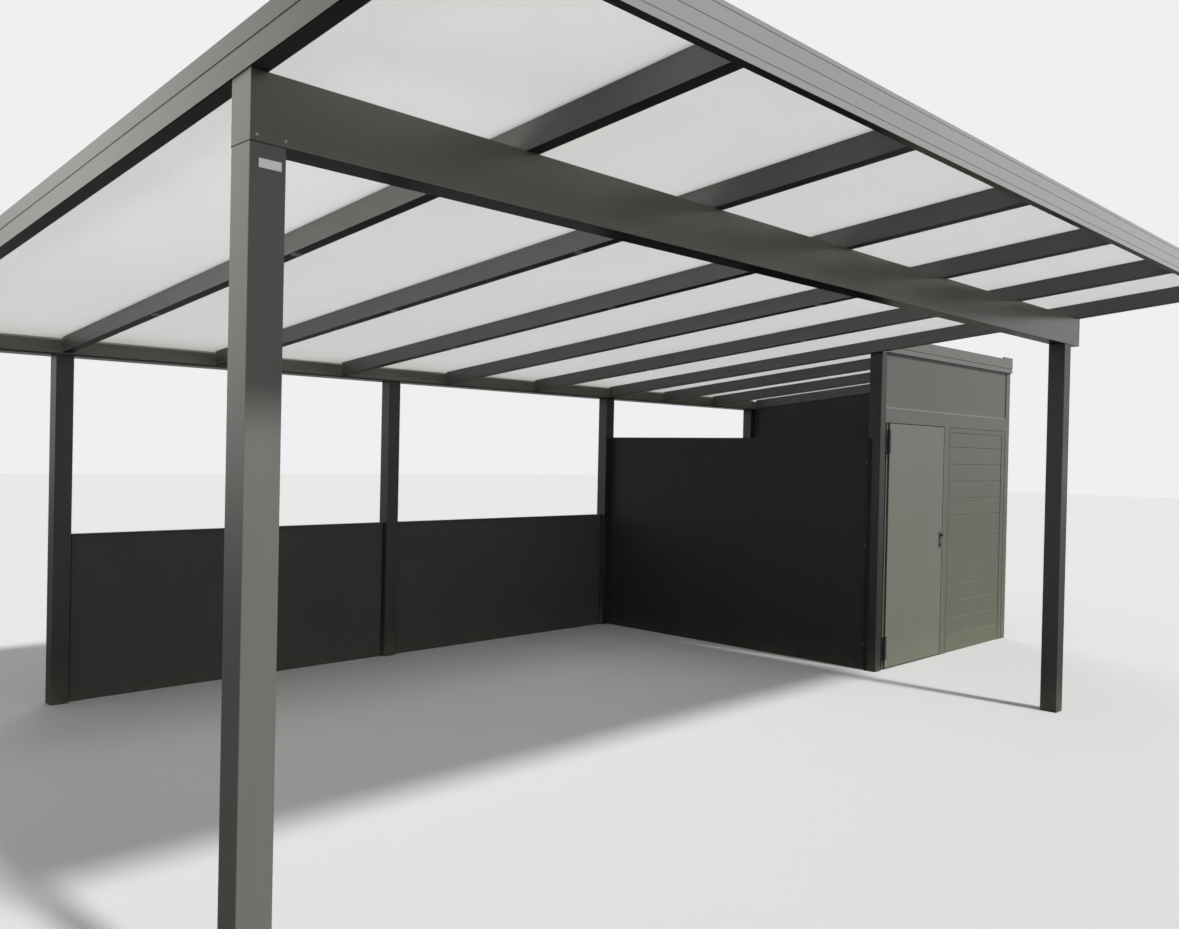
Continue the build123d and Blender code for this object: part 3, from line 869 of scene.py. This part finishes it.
# Rubber bulbs on the stops that the closed leaf meets, and a brush under the leaf
doorSeal = {
    "stopGap": 0.006,
    "stopLap": 0.012,
    "thickness": 0.0035,
    "width": 0.008,
    "lap": 0.002,
    "clear": 0.02,
    "headInset": 0.014,
    "edge": 0.0012,
}
stopFace = leafHigh.y + doorSeal["stopGap"]
for side, x0 in (
    ("hinge", leafLow.x + doorSeal["stopLap"] - doorSeal["width"] - doorSeal["lap"]),
    ("closing", leafHigh.x - doorSeal["stopLap"] + doorSeal["lap"]),
):
    sealLow = (x0, stopFace - doorSeal["thickness"], doorSeal["clear"])
    sealHigh = (x0 + doorSeal["width"], stopFace, leafHigh.z - doorSeal["clear"])
    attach(plate(f"door_seal_{side}_side", sealLow, sealHigh, doorSeal["edge"], rubber), "carport")
sealHigh = Vector((leafHigh.x - doorSeal["headInset"], stopFace, leafHigh.z - doorSeal["lap"]))
sealLow = sealHigh - Vector((0, doorSeal["thickness"], doorSeal["width"]))
sealLow.x = leafLow.x + doorSeal["headInset"]
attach(plate("door_seal_head", sealLow, sealHigh, doorSeal["edge"], rubber), "carport")

sweep = {"inset": 0.004, "depth": 0.012, "rise": 0.0035, "edge": 0.0015}
sweepMiddle = (leafLow.y + leafHigh.y) / 2
sweepLow = (leafLow.x + sweep["inset"], sweepMiddle - sweep["depth"] / 2, sweep["rise"])
sweepHigh = (leafHigh.x - sweep["inset"], sweepMiddle + sweep["depth"] / 2, leafLow.z)
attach(plate("door_bottom_brush", sweepLow, sweepHigh, sweep["edge"], brushBlack), "door")

# Lock face in the leaf's edge with its strike plate, and the key slot in the cylinder
lock = {
    "height": 0.2,
    "width": 0.02,
    "thickness": 0.0012,
    "latchProud": 0.004,
    "latchHeight": 0.022,
    "latchWidth": 0.012,
    "edge": 0.0004,
}
lockMiddle = Vector((0, sweepMiddle, handleMiddle.z))


def edgePlate(name, x0, x1, height, width):
    low = (x0, lockMiddle.y - width / 2, lockMiddle.z - height / 2)
    high = (x1, lockMiddle.y + width / 2, lockMiddle.z + height / 2)
    return plate(name, low, high, lock["edge"], screwSteel)


leafEdge = leafHigh.x
forendFace = leafEdge + lock["thickness"]
forend = edgePlate("lock_face_plate", leafEdge, forendFace, lock["height"], lock["width"])
latchEnd = leafEdge + lock["latchProud"]
latch = edgePlate("lock_latch", leafEdge, latchEnd, lock["latchHeight"], lock["latchWidth"])
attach(joined([forend, latch], "lock_face_plate"), "door")

# Strike plate on the stile, with a black patch for the latch hole that paints the hole's shade
strike = {
    "stopLap": 0.020,
    "thickness": 0.0015,
    "height": 0.16,
    "width": 0.024,
    "hole": 0.03,
    "holeProud": 0.0002,
}
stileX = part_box("door_closing_stile")[0].x + strike["stopLap"]
strikeX = stileX - strike["thickness"]
keeper = edgePlate("strike_plate", strikeX, stileX, strike["height"], strike["width"])
hole = edgePlate("strike_hole_shade", strikeX - strike["holeProud"], stileX, strike["hole"], lock["latchWidth"])
hole.data.materials.clear()
hole.data.materials.append(rubber)
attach(joined([keeper, hole], "strike_plate"), "carport")


# The cylinder's face with its key slot
key = {
    "sides": 32,
    "smooth": 30,
    "radius": 0.0075,
    "depth": 0.002,
    "proud": 0.0002,
    "rim": 0.0008,
    "rimDrop": 0.0003,
    "slotInset": 0.0022,
    "slotShare": 0.3,
    "slotDepth": 0.0007,
}


def makeKeySlot():
    deselectAll()
    place = {"depth": key["depth"], "location": (0, 0, key["proud"])}
    bpy.ops.mesh.primitive_cylinder_add(vertices=key["sides"], radius=key["radius"], **place)
    core = settled(bpy.context.object, "key_cylinder")
    core.data.materials.append(hingeBlack)
    core.data.materials.append(rubber)
    bpy.ops.object.mode_set(mode="EDIT")
    pickFaces(lambda face: face.normal.z > 0.9)
    bpy.ops.mesh.inset(thickness=key["rim"], depth=-key["rimDrop"])
    bpy.ops.mesh.inset(thickness=key["slotInset"], depth=0)
    bpy.ops.transform.resize(value=(key["slotShare"], 1, 1), center_override=(0, 0, 0))
    bpy.ops.mesh.extrude_region_move(TRANSFORM_OT_translate={"value": (0, 0, -key["slotDepth"])})
    core.active_material_index = 1
    bpy.ops.object.material_slot_assign()
    bpy.ops.object.mode_set(mode="OBJECT")
    bpy.ops.object.shade_smooth_by_angle(angle=math.radians(key["smooth"]))
    return core


keyPoint = handleMiddle - Vector((0, handle["lockReach"], handle["lockDrop"]))
keySlot = makeKeySlot()
keySlot.data.transform(turned(keyPoint, (0, -1, 0)))
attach(keySlot, "door")
print("door seals, brush and lock fitted")


# Thin profiles that close the lower ends of the roof sheets over the gutter
endProfile = {"lap": 0.018, "wall": 0.0012, "edge": 0.0004, "sheetBottom": 0.098}
profiles = []
for name in ("carport_roof_sheets", "store_roof_sheets"):
    for low, high in solidBoxes(name):
        bottom = underside(high.y) + endProfile["sheetBottom"] - endProfile["wall"]
        top = underside(high.y) + roof["stemTop"] + endProfile["wall"]
        profileLow = (low.x, high.y - endProfile["lap"], bottom)
        profileHigh = (high.x, high.y + endProfile["wall"], top)
        piece = plate("sheet_end_profile", profileLow, profileHigh, endProfile["edge"], endAluminium)
        pivot = Matrix.Translation((0, high.y, (bottom + top) / 2))
        piece.data.transform(pivot @ Matrix.Rotation(roofTilt, 4, "X") @ pivot.inverted())
        profiles.append(piece)
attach(joined(profiles, "sheet_end_profiles"), "carport")
print("sheet end profiles:", len(profiles))


# Studio: pale floor, even world, soft suns in front and behind, and a soft box on the left
studio = {
    "floorSize": 120,
    "floorCentre": (3, 2, 0),
    "floorSeen": (0.56, 0.56, 0.55),
    "floorBounce": (0.045, 0.045, 0.044),
    "floorGloss": 0.1,
    "worldSeen": (0.86, 0.87, 0.88),
    "worldLight": (0.95, 0.98, 1.0),
    "worldStrength": 0.46,
    "frontSun": {"from": (0.03, -0.66, 0.75), "strength": 3.6, "spread": 5},
    "rearSun": {"from": (0.45, 0.75, 0.5), "strength": 0.9, "spread": 40},
    "sunHeight": 8,
    "leftBox": {
        "at": (-2.4, 1.4, 2.05),
        "towards": (0.0, 1.0, 4.6),
        "power": 84,
        "side": 1.0,
        "spread": 130,
    },
}


def isRay(paint, kind):
    return paint.node("ShaderNodeLightPath", pick=f"Is {kind} Ray")


def makeFloor():
    # The floor looks pale, but it throws back little light, because the photograph's paving is dark.
    deselectAll()
    bpy.ops.mesh.primitive_plane_add(size=studio["floorSize"], location=studio["floorCentre"])
    floor = bpy.context.object
    floor.name = "studio_floor"
    paint = Paint("studio_floor_paint")
    seen = paint.node("ShaderNodeBsdfDiffuse", None, {"Color": studio["floorSeen"]})
    bounce = paint.node("ShaderNodeBsdfDiffuse", None, {"Color": studio["floorBounce"]})
    share = isRay(paint, "Camera") + isRay(paint, "Glossy") * studio["floorGloss"]
    share = (share + isRay(paint, "Transmission")).held()
    mixed = paint.node("ShaderNodeMixShader", None, {0: share, 1: bounce, 2: seen})
    floor.data.materials.append(paint.finish(mixed))
    floor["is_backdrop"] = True


def makeWorld():
    paint = Paint("studio_world", bpy.data.worlds, "ShaderNodeOutputWorld")
    seen = paint.node("ShaderNodeBackground", None, {"Color": studio["worldSeen"]})
    feeds = {"Color": studio["worldLight"], "Strength": studio["worldStrength"]}
    light = paint.node("ShaderNodeBackground", None, feeds)
    share = paint.maths("MAXIMUM", isRay(paint, "Camera"), isRay(paint, "Glossy"))
    mixed = paint.node("ShaderNodeMixShader", None, {0: share, 1: light, 2: seen})
    bpy.context.scene.world = paint.finish(mixed)


def makeSun(name):
    look = studio[name]
    deselectAll()
    bpy.ops.object.light_add(type="SUN", location=(0, 0, studio["sunHeight"]))
    sun = bpy.context.object
    sun.name = name
    sun.data.energy = look["strength"]
    sun.data.angle = math.radians(look["spread"])
    sun.rotation_euler = Vector(look["from"]).to_track_quat("Z", "Y").to_euler()


def makeSoftBox(name):
    look = studio[name]
    deselectAll()
    bpy.ops.object.light_add(type="AREA", location=look["at"])
    box = bpy.context.object
    box.name = name
    box.visible_camera = False
    box.visible_glossy = False
    box.data.energy = look["power"]
    box.data.size = look["side"]
    box.data.spread = math.radians(look["spread"])
    away = Vector(look["at"]) - Vector(look["towards"])
    box.rotation_euler = away.to_track_quat("Z", "Y").to_euler()


makeFloor()
makeWorld()
makeSun("frontSun")
makeSun("rearSun")
makeSoftBox("leftBox")
print("studio lit")


# Camera at the photograph's viewpoint: eye in metres, heading from +Y towards +X
view = {
    "eye": (-1.390, -2.700, 1.714),
    "heading": 45.417,
    "pitch": -0.495,
    "roll": 1.213,
    "lens": 31.29,
    "sensor": 36,
    "reach": 300,
}
bpy.ops.object.camera_add(location=view["eye"])
camera = bpy.context.object
camera.name = "photo_camera"
heading = Matrix.Rotation(-math.radians(view["heading"]), 4, "Z")
tip = Matrix.Rotation(math.radians(90 + view["pitch"]), 4, "X")
lean = Matrix.Rotation(math.radians(view["roll"]), 4, "Z")
camera.matrix_world = Matrix.Translation(view["eye"]) @ heading @ tip @ lean
camera.data.lens = view["lens"]
camera.data.sensor_width = view["sensor"]
camera.data.clip_end = view["reach"]
bpy.context.scene.camera = camera
bpy.context.scene.view_settings.view_transform = "Standard"
print("camera placed")

low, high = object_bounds()
